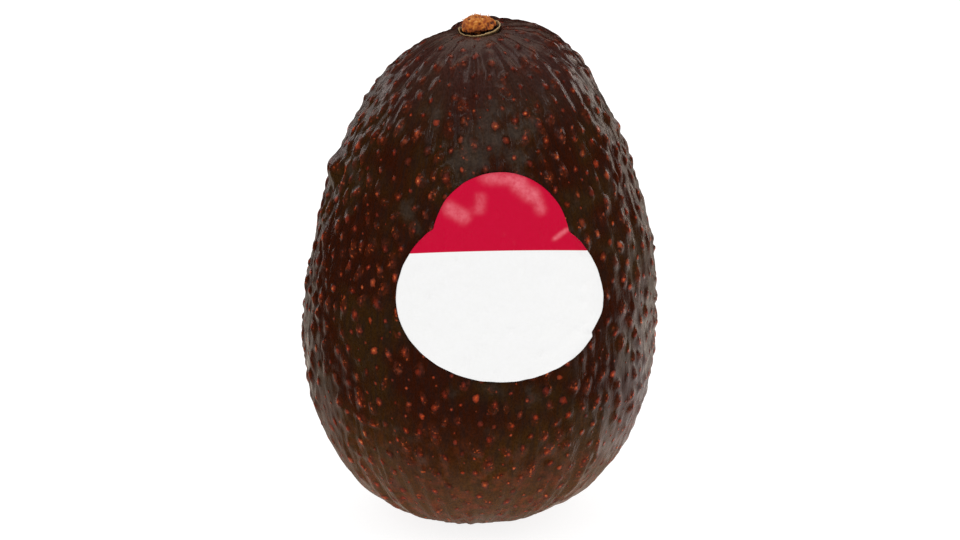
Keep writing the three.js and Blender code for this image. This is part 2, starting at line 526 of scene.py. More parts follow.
@dataclass
class Forms:
    """The fruit's larger forms: one nub below a slope, a dent in the crown and a fuller cheek."""

    nub_angle: float = math.radians(189)
    nub_aim: float = 30 * MM
    nub_level: float = 72.4 * MM
    nub_radius: float = 4.4 * MM
    nub_rise: float = 1.7 * MM
    slope_shift: float = 4.5 * MM
    slope_half_length: float = 8.5 * MM
    slope_half_width: float = 7.04 * MM
    slope_rise: float = 0.45 * MM
    dent_place: Vector = Vector((-7.5, 7.0, 95.0)) * MM
    dent_radius: float = 7.5 * MM
    dent_depth: float = 1.4 * MM
    cheek_place: Vector = Vector((30.0, -2.0, 57.0)) * MM
    cheek_radius: float = 15 * MM
    cheek_rise: float = 0.7 * MM

    def bumps(self, ground: Ground) -> tuple[Pebble, ...]:
        """Places the forms on the fruit.

        Args:
            ground: The smooth rind.

        Returns:
            The nub, the slope, the dent and the cheek.
        """
        aim = Vector((math.cos(self.nub_angle), math.sin(self.nub_angle), 0.0)) * self.nub_aim
        aim.z = self.nub_level
        number = min(range(len(ground.starts)), key=lambda n: (ground.starts[n] - aim).length)
        place = ground.starts[number]
        along, across = meridian(ground.outward[number], 0.0)
        slope_place = place + along * self.slope_shift
        slope_across = across / self.slope_half_width
        return (
            Pebble(place, along / self.nub_radius, across / self.nub_radius, self.nub_rise),
            Pebble(slope_place, along / self.slope_half_length, slope_across, self.slope_rise),
            Pebble(self.dent_place, RIGHT / self.dent_radius, BACK / self.dent_radius, -self.dent_depth),
            Pebble(self.cheek_place, UP / self.cheek_radius, BACK / self.cheek_radius, self.cheek_rise),
        )


@dataclass
class Pores:
    """The rind's corky pores: where they sit, how they look and how far they stand out as warts."""

    top: float
    on_pebbles: float = 0.92
    next_size: float = 0.8
    shift: Pair = (0.3 * MM, 0.2 * MM)
    strays: int = 6500
    stray_size: float = 0.6
    stray_turn: float = math.radians(22)
    radius: Pair = (0.36 * MM, 0.88 * MM)
    length_share: Pair = (1.0, 1.5)
    room: float = 2.4
    guard_share: float = 1.05
    facet: float = 0.45 * MM
    # Strongest value and the power that makes it rare.
    tone: Pair = (0.42, 1.5)
    pale: Pair = (0.18, 4)
    strength: Pair = (0.4, 1.0)
    crown: Pair = (0.82, 1.0)
    dimmed_at_crown: float = 0.7
    weakened_at_crown: float = 0.25
    wart_rise: float = 0.08 * MM
    wart_spread: float = 1.9
    full_wart_level: float = 45 * MM

    def sow(
        self, pebbles: list[Pebble], ground: Ground, bare: Vector, bare_radius: float, chance: random.Random
    ) -> list[Lenticel]:
        """Puts corky pores on most pebbles and a few between them.

        Args:
            pebbles: The pebbles.
            ground: The smooth rind.
            bare: Middle of the place that has none.
            bare_radius: Its radius.
            chance: Source of random numbers.

        Returns:
            The pores.
        """
        drawn = []
        for pebble in pebbles:
            along, across = pebble.along.normalized(), pebble.across.normalized()
            size = 1.0
            while chance.random() < self.on_pebbles * size:
                shift = along * chance.gauss(0.0, self.shift[0] / size)
                shift += across * chance.gauss(0.0, self.shift[1] / size)
                drawn.append(self.lenticel(pebble.place + shift, along, across, size, chance))
                size *= self.next_size
        for number in ground.order[:self.strays]:
            along, across = meridian(ground.outward[number], chance.gauss(0.0, self.stray_turn))
            drawn.append(self.lenticel(ground.starts[number], along, across, self.stray_size, chance))
        sown = Sowing(self.room * self.radius[1])
        clear = [pore for pore in drawn if (pore.place - bare).length > bare_radius]
        return [pore for pore in clear if sown.take(pore.place, pore.guard)]

    def lenticel(
        self, place: Vector, along: Vector, across: Vector, size: float, chance: random.Random
    ) -> Lenticel:
        """Draws the size and the look of one pore.

        Args:
            place: Its middle.
            along: Direction of its length.
            across: Direction of its width.
            size: Share of the full size.
            chance: Source of random numbers.

        Returns:
            The pore.
        """
        radius = size * chance.uniform(*self.radius)
        length = radius * chance.uniform(*self.length_share)
        crown = smoothstep(*self.crown, place.z / self.top)
        tone = self.tone[0] * chance.random() ** self.tone[1] * (1.0 - self.dimmed_at_crown * crown)
        strength = chance.uniform(*self.strength) * (1.0 - self.weakened_at_crown * crown)
        pale = self.pale[0] * chance.random() ** self.pale[1]
        guard = self.guard_share * length + self.facet
        return Lenticel(place, along / length, across / radius, guard, tone, strength, pale)

    def mark(self, shape: bmesh.types.BMesh, ground: Ground, lenticels: list[Lenticel]) -> None:
        """Raises the pores as warts and notes each vertex's way to its pore, in that pore's own sizes.

        Args:
            shape: The rind's mesh.
            ground: The smooth rind.
            lenticels: The pores.
        """
        way_layer = shape.verts.layers.float_vector.new(Field.LENTICEL.value)
        look_layer = shape.verts.layers.float_vector.new(Field.LENTICEL_LOOK.value)
        tree = KDTree(len(lenticels))
        for number, lenticel in enumerate(lenticels):
            tree.insert(lenticel.place, number)
        tree.balance()
        reach = 1.5 * max(pore.guard for pore in lenticels)
        for vert, start, normal in zip(shape.verts, ground.starts, ground.outward):
            near = tree.find_range(start, reach) or [tree.find(start)]
            _, number, distance = min((far / lenticels[n].guard, n, far) for _, n, far in near)
            pore = lenticels[number]
            way = start - pore.place
            along, across = way.dot(pore.along), way.dot(pore.across)
            dome = max(1.0 - (along ** 2 + across ** 2) / self.wart_spread, 0.0) ** 2
            rise = dome * self.wart_rise * pore.strength
            vert.co += normal * (rise * smoothstep(0.0, self.full_wart_level, start.z))
            vert[way_layer] = (along, across, (pore.guard - distance) / self.facet)
            vert[look_layer] = (pore.tone, pore.strength, pore.pale)


@dataclass
class Rind:
    """The fruit's outside: a fine mesh on the CAD fruit, raised into pebbles, ribs and swells."""

    cells: int = 127
    seed: int = 41
    relaxing: int = 24
    fixed_foot: float = 0.4 * MM
    cavity_centre: Pair = (0.95 * MM, 1.0 * MM)
    cavity_radius: float = 3.75 * MM
    upper_part: float = 0.6
    pebble_spacing: float = 2.45 * MM
    pebble_stretch: float = 0.74
    pebble_half_width: Pair = (1.0 * MM, 1.7 * MM)
    pebble_length_share: Pair = (1.2, 2.1)
    pebble_height: Pair = (0.06 * MM, 0.66 * MM)
    pebble_turn: float = math.radians(22)
    pebble_mean: float = 0.42
    pebble_join: float = 0.3
    # Sizes and heights of noise, and of the wrinkles along the fruit.
    swell: Pair = (9 * MM, 0.28 * MM)
    warp: Pair = (2.3 * MM, 0.85 * MM)
    rib: Wrinkle = (2.2 * MM, 12 * MM, 0.2 * MM)
    fold: Wrinkle = (4.2 * MM, 22 * MM, 0.5 * MM)
    hair_line: Wrinkle = (1.15 * MM, 9 * MM, 0.1 * MM)
    fold_on_sides: float = 0.6
    girth: float = 34 * MM
    course_stretch: float = 3.5
    # Where the relief changes: heights, shares of the height, distances from the axis, cavity radii.
    low_relief: Pair = (6 * MM, 36 * MM)
    crown_relief: Pair = (0.8, 0.97)
    wide_relief: Pair = (9 * MM, 24 * MM)
    pebbles_from_stem: Pair = (1.0, 4.2)
    pebbles_from_nub: Pair = (0.3, 1.4)
    wrinkles_from_stem: Pair = (1.0, 2.2)
    full_relief_level: float = 4 * MM
    # How much of the relief is lost low down and at the crown, and is left round the stem and at the foot.
    lost_low: float = 0.7
    lost_at_crown: float = 0.25
    left_at_stem: float = 0.15
    left_at_foot: float = 0.12
    form_reach: float = 16 * MM
    tuck: float = 0.25 * MM
    tuck_start: Pair = (0.1 * MM, 1.5 * MM)
    tuck_end: Pair = (2 * MM, 8 * MM)
    # Zones of colour, and the strongest share of the first two.
    crown_zone: Pair = (0.82, 1.0)
    crown_colour: float = 0.65
    # The low zone also carries painted light from the floor.
    low_zone: Pair = (4 * MM, 35 * MM)
    low_colour: float = 0.7
    hollow_zone: Pair = (0.75, 1.05)
    # Middle, radius and fade of the waxy bloom, partly a painted reflection of the front lights on the
    # upper front.
    bloom_and_sheen_place: Vector = Vector((2.5, -21.5, 82.5)) * MM
    bloom_and_sheen_radius: float = 15 * MM
    bloom_and_sheen_fade: Pair = (0.3, 1.0)
    forms: Forms = field(default_factory=Forms)
    finish: RindFinish = RindFinish()
    top: float = field(init=False)

    def __post_init__(self) -> None:
        """Takes the crown's height from the CAD fruit."""
        self.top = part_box("fruit")[1].z

    def build(self) -> bpy.types.Object:
        """Builds the rind in the place of the CAD fruit.

        Returns:
            The rind's object.
        """
        chance = random.Random(self.seed)
        # The noise vectors have a seed of their own.
        noise.seed_set(self.seed)
        shape = self.wrapped_mesh()
        order = list(range(len(shape.verts)))
        chance.shuffle(order)
        ground = Ground([v.co.copy() for v in shape.verts], [v.normal.copy() for v in shape.verts], order)
        pebbles = self.sow_pebbles(ground, chance)
        bumps = self.forms.bumps(ground)
        pores = Pores(self.top)
        lenticels = pores.sow(pebbles, ground, bumps[0].place, self.forms.nub_radius, chance)
        self.raise_relief(shape, ground, pebbles, bumps)
        pores.mark(shape, ground, lenticels)
        piece = new_piece("rind", shape, self.finish.material())
        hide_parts("fruit")
        LOG.info("rind: %d pebbles, %d lenticels", len(pebbles), len(lenticels))
        return piece

    def wrapped_mesh(self) -> bmesh.types.BMesh:
        """Wraps a subdivided cube round the CAD fruit and relaxes its facets.

        Returns:
            A closed mesh of even quads with its normals up to date.
        """
        low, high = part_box("fruit")
        centre, half = (low + high) / 2, (high - low) / 2
        fruit = cad_shape("fruit")
        tree = BVHTree.FromBMesh(fruit)
        shape = bmesh.new()
        bmesh.ops.create_cube(shape, size=2.0)
        bmesh.ops.subdivide_edges(shape, edges=shape.edges[:], cuts=self.cells - 1, use_grid_fill=True)
        for vert in shape.verts:
            even = Vector(math.tan(c * math.pi / 4) for c in vert.co).normalized()
            vert.co = tree.ray_cast(centre, (even * half).normalized())[0]
        fruit.free()
        lip = 1.5 * self.cavity_radius
        free = [v for v in shape.verts if v.co.z > self.fixed_foot and self.from_stem(v.co) > lip]
        soften(shape, free, self.relaxing)
        bmesh.ops.recalc_face_normals(shape, faces=shape.faces)
        shape.normal_update()
        return shape

    def from_stem(self, point: Vector) -> float:
        """Distance from the stem cavity's axis, without end on the lower part of the fruit."""
        if point.z < self.upper_part * self.top:
            return math.inf
        return math.hypot(point.x - self.cavity_centre[0], point.y - self.cavity_centre[1])

    def sow_pebbles(self, ground: Ground, chance: random.Random) -> list[Pebble]:
        """Scatters the pebbles over the fruit, closer round it than along it.

        Args:
            ground: The smooth rind.
            chance: Source of random numbers.

        Returns:
            The pebbles.
        """
        sown = Sowing(self.pebble_spacing / 2)
        pebbles = []
        for number in ground.order:
            place = ground.starts[number]
            squeezed = Vector((place.x, place.y, place.z * self.pebble_stretch))
            if not sown.take(squeezed, self.pebble_spacing / 2):
                continue
            half_width = chance.uniform(*self.pebble_half_width)
            half_length = half_width * chance.uniform(*self.pebble_length_share)
            along, across = meridian(ground.outward[number], chance.gauss(0.0, self.pebble_turn))
            height = chance.uniform(*self.pebble_height)
            pebbles.append(Pebble(place, along / half_length, across / half_width, height))
        return pebbles

    def wrinkle(self, point: Vector, sizes: Wrinkle) -> float:
        """Height of wrinkles that run along the fruit."""
        spacing, length, rise = sizes
        return noise.noise(self.course(point, length / spacing) / spacing) * rise

    def course(self, point: Vector, stretch: float) -> Vector:
        """Place on a tube of the fruit's girth, shortened along it by the stretch."""
        way = Vector((point.x, point.y, 0.0)).normalized() * self.girth
        way.z = point.z / stretch
        return way

    def raise_relief(
        self, shape: bmesh.types.BMesh, ground: Ground, pebbles: list[Pebble], bumps: tuple[Pebble, ...]
    ) -> None:
        """Moves the vertices out by the relief, and notes the pebbles' height and the zones of colour.

        Args:
            shape: The rind's mesh.
            ground: The smooth rind.
            pebbles: The pebbles.
            bumps: The larger forms, the nub first.
        """
        relief_layer = shape.verts.layers.float.new(Field.RELIEF.value)
        zone_layer = shape.verts.layers.float_vector.new(Field.ZONES.value)
        bloom_and_sheen_layer = shape.verts.layers.float.new(Field.BLOOM.value)
        course_layer = shape.verts.layers.float_vector.new(Field.COURSE.value)
        tree = KDTree(len(pebbles))
        for number, pebble in enumerate(pebbles):
            tree.insert(pebble.place, number)
        tree.balance()
        reach = self.pebble_half_width[1] * self.pebble_length_share[1]
        for vert, start, normal in zip(shape.verts, ground.starts, ground.outward):
            warped = start + noise.noise_vector(start / self.warp[0]) * self.warp[1]
            rises = [pebbles[n].rise(warped) for _, n, _ in tree.find_range(warped, reach)] or [0.0]
            pebbled = (1.0 - self.pebble_join) * max(rises) + self.pebble_join * sum(rises)
            vert.co = start + normal * self.height(start, pebbled, bumps)
            vert.co.z = max(vert.co.z, 0.0)
            vert[relief_layer] = pebbled / MM
            vert[zone_layer] = self.zones(start)
            vert[course_layer] = self.course(start, self.course_stretch)
            from_bloom_and_sheen = (start - self.bloom_and_sheen_place).length / self.bloom_and_sheen_radius
            vert[bloom_and_sheen_layer] = 1.0 - smoothstep(*self.bloom_and_sheen_fade, from_bloom_and_sheen)
        shape.normal_update()

    def height(self, start: Vector, pebbled: float, bumps: tuple[Pebble, ...]) -> float:
        """Height of the whole relief above the smooth rind.

        Args:
            start: Place on the smooth rind.
            pebbled: Height of the pebbles there.
            bumps: The larger forms, the nub first.

        Returns:
            The height.
        """
        from_stem = self.from_stem(start) / self.cavity_radius
        from_nub = (start - bumps[0].place).length / self.forms.nub_radius
        low = 1.0 - smoothstep(*self.low_relief, start.z)
        crown = smoothstep(*self.crown_relief, start.z / self.top)
        wide = smoothstep(*self.wide_relief, math.hypot(start.x, start.y))
        wrinkles = self.wrinkle(start, self.rib) * (1.0 + low)
        folded = self.fold_on_sides + (1.0 - self.fold_on_sides) * max(low, crown)
        wrinkles += self.wrinkle(start, self.fold) * folded
        wrinkles += self.wrinkle(start, self.hair_line) * wide * (1.0 + low)
        mean = 0.5 * sum(self.pebble_height) * self.pebble_mean
        height = (pebbled - mean) * (1.0 - self.lost_low * low - self.lost_at_crown * crown)
        height += noise.noise(start / self.swell[0]) * self.swell[1]
        calm = smoothstep(*self.pebbles_from_stem, from_stem) * smoothstep(*self.pebbles_from_nub, from_nub)
        height *= self.left_at_stem + (1.0 - self.left_at_stem) * calm
        height += wrinkles * smoothstep(*self.wrinkles_from_stem, from_stem)
        grounded = smoothstep(0.0, self.full_relief_level, start.z)
        height *= self.left_at_foot + (1.0 - self.left_at_foot) * grounded
        height += sum(bump.rise(start) for bump in bumps if (start - bump.place).length < self.form_reach)
        foot = smoothstep(*self.tuck_start, start.z) * (1.0 - smoothstep(*self.tuck_end, start.z))
        return height - self.tuck * foot

    def zones(self, start: Vector) -> tuple[float, float, float]:
        """How far a place belongs to the crown, to the lower end and to the stem cavity."""
        crown = smoothstep(*self.crown_zone, start.z / self.top) * self.crown_colour
        low = (1.0 - smoothstep(*self.low_zone, start.z)) * self.low_colour
        hollow = 1.0 - smoothstep(*self.hollow_zone, self.from_stem(start) / self.cavity_radius)
        return crown, low, hollow


@dataclass(frozen=True)
class CorkFinish:
    """Dry cork of the stalk's end: torn, fibrous and matt, rust brown, paler on raised crumbs and darker in
    pits, partly its own colour and partly painted highlight and shade.
    """

    name: str = "stalk_cork"
    pit_and_shade: str = "#3a1405"
    body: str = "#964610"
    pale: str = "#b9681e"
    ridge_and_highlight: str = "#e0a052"
    levels: tuple[float, float, float, float] = (0.08, 0.36, 0.64, 1.0)
    roughness: float = 0.88
    ior: float = 1.45
    # Size and detail of the crumbs, their weight beside the relief, and their bump's strength and height.
    crumb: Pair = (0.55 * MM, 4.0)
    crumb_weight: float = 0.7
    crumb_bump: Pair = (0.8, 0.2 * MM)

    def material(self) -> bpy.types.Material:
        """Builds the cork's material from its relief and from crumbs of noise."""
        material, tree = new_material(self.name)
        place = add_node(tree, Node.PLACE)
        relief = add_node(tree, Node.VALUE_FIELD, attribute_name=Field.RELIEF.value)
        size, detail = self.crumb
        crumbs = add_node(tree, Node.NOISE, place, 1.0 / size, detail, NOISE_ROUGHNESS)
        # Colour follows height: pale where crumbs stand out and dark where they sink, partly painted
        # highlight and shade.
        height = add_node(tree, Node.SCALED_SUM, crumbs, self.crumb_weight, relief)
        pit_and_shade, body, pale, ridge_and_highlight = zip(self.levels, (self.pit_and_shade, self.body, self.pale, self.ridge_and_highlight))
        colour = add_node(tree, Node.RAMP, height, stops=(pit_and_shade, ridge_and_highlight, body, pale))
        normal = add_node(tree, Node.BUMP, crumbs, *self.crumb_bump)
        add_node(tree, Node.SURFACE, add_node(tree, Node.SHADER, colour, self.roughness, self.ior, normal))
        return material


@dataclass
class StemButton:
    """The corky end of the stalk: the CAD button, crumbled, with torn fibres at its top."""

    cuts: int = 4
    smoothing: int = 6
    seed: int = 5
    # Sizes and heights of the crumbs.
    crumb: Pair = (0.95 * MM, 0.3 * MM)
    fine: Pair = (0.4 * MM, 0.12 * MM)
    # Tone of the cork, what the crumbs add to it, and what its foot loses to a painted shadow under the
    # collar.
    tone: float = 0.15
    crumb_tone: float = 0.5
    fine_tone: float = 0.4
    foot_shadow_tone: float = 0.3
    foot: Pair = (0.3, 0.75)
    fibres: int = 16
    fibre_level: float = 0.6
    fibre_length: Pair = (0.35 * MM, 0.9 * MM)
    fibre_radius: float = 0.09 * MM
    fibre_tip: float = 0.3
    fibre_lean: float = 0.8
    fibre_lift: float = 0.6
    fibre_out: float = 0.35
    fibre_tone: float = 0.5
    finish: CorkFinish = CorkFinish()

    def build(self) -> bpy.types.Object:
        """Builds the button in the place of the CAD one.

        Returns:
            The button's object.
        """
        low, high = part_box("stem_button")
        shape = cad_shape("stem_button")
        bmesh.ops.subdivide_edges(shape, edges=shape.edges[:], cuts=self.cuts, use_grid_fill=True)
        soften(shape, shape.verts, self.smoothing)
        shape.normal_update()
        relief_layer = shape.verts.layers.float.new(Field.RELIEF.value)
        moves = []
        for vert in shape.verts:
            lump = noise.noise(vert.co / self.crumb[0])
            fine = noise.noise(vert.co / self.fine[0])
            moves.append(vert.normal * (lump * self.crumb[1] + fine * self.fine[1]))
            # Painted shadow: the lower part of the button is darker, as if shaded by the collar.
            foot = 1.0 - smoothstep(*self.foot, (vert.co.z - low.z) / (high.z - low.z))
            # Tone follows the crumbs that move the surface, paler where raised and darker where sunken:
            # partly painted highlight and shade.
            tone = self.tone + self.crumb_tone * lump + self.fine_tone * fine
            vert[relief_layer] = tone - self.foot_shadow_tone * foot
        for vert, move in zip(shape.verts, moves):
            vert.co += move
        self.add_fibres(shape, relief_layer, low.z + self.fibre_level * (high.z - low.z))
        piece = new_piece("stem_cork", shape, self.finish.material())
        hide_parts("stem_button")
        LOG.info("stem button with %d fibres", self.fibres)
        return piece

    def add_fibres(
        self, shape: bmesh.types.BMesh, relief_layer: bmesh.types.BMLayerItem, level: float
    ) -> None:
        """Adds torn fibres that stand out of the button's upper part.

        Args:
            shape: The button's mesh.
            relief_layer: Layer that gets the fibres' pale tone.
            level: Height that they grow above.
        """
        chance = random.Random(self.seed)
        upper = [v for v in shape.verts if v.co.z > level]
        roots = [(v.co.copy(), v.normal.copy()) for v in chance.sample(upper, self.fibres)]
        for place, normal in roots:
            length = chance.uniform(*self.fibre_length)
            sideways = chance.uniform(-1, 1), chance.uniform(-1, 1)
            lean = Vector((*sideways, chance.uniform(0, self.fibre_lift)))
            aim = (normal + lean * self.fibre_lean).normalized()
            turn = UP.rotation_difference(aim).to_matrix().to_4x4()
            made = bmesh.ops.create_cone(
                shape,
                cap_ends=True,
                segments=6,
                radius1=self.fibre_radius,
                radius2=self.fibre_radius * self.fibre_tip,
                depth=length,
                matrix=Matrix.Translation(place + aim * length * self.fibre_out) @ turn,
            )
            for vert in made["verts"]:
                vert[relief_layer] = self.fibre_tone


@dataclass
class StemCollar:
    """Thin dry papery edge that stands round the stem cavity, higher on the right."""

    radius: float = 3.5 * MM
    flare: float = 0.3 * MM
    rise: Pair = (0.1 * MM, 0.95 * MM)
    high_side: float = math.radians(5)
    root: float = 0.7 * MM
    below_top: float = 0.55 * MM
    tilt: Pair = (0.058, 0.05)
    # Coarse and fine waves round the edge: scale, slice of the noise and height.
    waves: Pair = (2.7, 9.0)
    wave_slices: Pair = (0.3, 1.3)
    wave_rise: Pair = (0.28 * MM, 0.16 * MM)
    wave_flare: float = 0.18 * MM
    # Tone at the root, and what the edge and the fine waves add to it: darker at the root down in the
    # cavity and paler at the free edge, partly the collar's own colour and partly painted shade and
    # highlight.
    root_tone: float = -0.2
    edge_tone: float = 0.75
    wave_tone: float = 0.15
    thickness: float = 0.16 * MM
    rings: int = 5
    segments: int = 144
    finish: CorkFinish = CorkFinish(
        name="papery_collar", pit_and_shade="#2c1a0a", body="#543a18", pale="#84653a", ridge_and_highlight="#bea070", roughness=0.8
    )

    def build(self, rind: Rind) -> bpy.types.Object:
        """Builds the collar on the cavity's lip.

        Args:
            rind: The rind that it grows from.

        Returns:
            The collar's object.
        """
        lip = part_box("fruit")[1].z - self.below_top
        shape = bmesh.new()
        relief_layer = shape.verts.layers.float.new(Field.RELIEF.value)
        made = bmesh.ops.create_circle(shape, cap_ends=False, segments=self.segments, radius=self.radius)
        edge = shape.edges[:]
        levels = [made["verts"]]
        for _ in range(self.rings):
            grown = bmesh.ops.extrude_edge_only(shape, edges=edge)["geom"]
            levels.append([g for g in grown if isinstance(g, bmesh.types.BMVert)])
            edge = [g for g in grown if isinstance(g, bmesh.types.BMEdge)]
        waves = tuple(zip(self.wave_slices, self.waves))
        for number, level in enumerate(levels):
            share = number / self.rings
            for vert in level:
                angle = math.atan2(vert.co.y, vert.co.x)
                way = Vector((math.cos(angle), math.sin(angle), 0.0))
                ragged, fine = (noise.noise((way + at * UP) * scale) for at, scale in waves)
                side = 0.5 + 0.5 * math.cos(angle - self.high_side)
                rise = self.rise[0] + (self.rise[1] - self.rise[0]) * side ** 2
                rise += self.wave_rise[0] * ragged + self.wave_rise[1] * fine
                x, y, _ = way * (self.radius + self.flare * share ** 2 + self.wave_flare * ragged)
                height = lip + self.tilt[0] * x + self.tilt[1] * y + share * rise - (1 - share) * self.root
                vert.co = Vector((rind.cavity_centre[0] + x, rind.cavity_centre[1] + y, height))
                vert[relief_layer] = self.root_tone + self.edge_tone * share ** 3 + self.wave_tone * fine
        bmesh.ops.recalc_face_normals(shape, faces=shape.faces)
        bmesh.ops.solidify(shape, geom=shape.faces[:], thickness=self.thickness)
        bmesh.ops.recalc_face_normals(shape, faces=shape.faces)
        piece = new_piece("stem_collar", shape, self.finish.material())
        LOG.info("stem collar")
        return piece


@dataclass(frozen=True)
class LabelFinish:
    """Coated sticker paper: smooth, half glossy, printed with a plain red upper field on white, with
    painted highlights along its creases.
    """

    red: str = "#c40030"
    mottled_red: str = "#cc0438"
    white: str = "#f1f1f1"
    mottled_white: str = "#eeeeed"
    crease_highlight: str = "#f48a96"
    ior: float = 1.26
    # Size and detail of the paper's fibres, drawn coarser than real ones so that they show.
    fibre: Pair = (0.8 * MM, 3.0)
    fibre_bump: Pair = (0.15, 0.05 * MM)
    # Lower edge of the red field, in millimetres on the flat sheet.
    field_height: float = 9.0
    field_slope: float = 0.035
    field_bow: float = -0.0008
    field_edge: Ease = (-0.06, 0.06, 0.0, 1.0)
    red_mottle: Ease = (0.3, 0.7, 0.0, 0.25)
    white_mottle: Ease = (0.3, 0.7, 0.0, 0.5)
    # Painted highlights along the creases, pale pink on the red print, broken up by the fibres.
    highlighted_creases: Ease = (0.05, 0.95, 0.0, 0.6)
    crease_highlight_breaks: Ease = (0.1, 0.8, 0.3, 1.0)
    field_roughness: Ease = (0.0, 1.0, 0.34, 0.24)

    def material(self) -> bpy.types.Material:
        """Builds the label's material, with the print's edge as a curve across the flat sheet."""
        material, tree = new_material("coated_sticker_paper")
        place = add_node(tree, Node.PLACE)
        flat = add_node(tree, Node.VECTOR_FIELD, attribute_name=Field.FLAT.value)
        across, up, crease = add_node(tree, Node.AXES, flat).node.outputs
        bow = add_node(tree, Node.SCALED_SUM, across, self.field_bow, self.field_slope)
        edge = add_node(tree, Node.SCALED_SUM, across, bow, self.field_height)
        above = add_node(tree, Node.DIFFERENCE, up, edge)
        printed = share_of(tree, (above, *self.field_edge))
        size, detail = self.fibre
        fibres = add_node(tree, Node.NOISE, place, 1.0 / size, detail, NOISE_ROUGHNESS)
        mottle = share_of(tree, (fibres, *self.red_mottle))
        ink = add_node(tree, Node.MIX, mottle, self.red, self.mottled_red)
        # Painted highlights along the creases.
        crease_highlights = share_of(tree, (crease, *self.highlighted_creases), (fibres, *self.crease_highlight_breaks))
        ink = add_node(tree, Node.MIX, crease_highlights, ink, self.crease_highlight)
        mottle = share_of(tree, (fibres, *self.white_mottle))
        paper = add_node(tree, Node.MIX, mottle, self.white, self.mottled_white)
        colour = add_node(tree, Node.MIX, printed, paper, ink)
        roughness = share_of(tree, (printed, *self.field_roughness))
        normal = add_node(tree, Node.BUMP, fibres, *self.fibre_bump)
        add_node(tree, Node.SURFACE, add_node(tree, Node.SHADER, colour, roughness, self.ior, normal))
        return material


@dataclass(frozen=True)
class Crease:
    """A soft crease in the label's paper: its ends and width in millimetres on the flat sheet, its rise."""

    start: Pair
    end: Pair
    width: float
    rise: float
    fade: float = 0.25

    def lift(self, x: float, y: float) -> float:
        """Height of the crease at a point of the sheet."""
        (ax, ay), (bx, by) = self.start, self.end
        length = math.hypot(bx - ax, by - ay)
        share = ((x - ax) * (bx - ax) + (y - ay) * (by - ay)) / length ** 2
        side = abs((x - ax) * (by - ay) - (y - ay) * (bx - ax)) / length
        ends = smoothstep(-self.fade, self.fade, share)
        ends *= 1.0 - smoothstep(1.0 - self.fade, 1.0 + self.fade, share)
        return self.rise * ends * math.exp(-((side / self.width) ** 2))


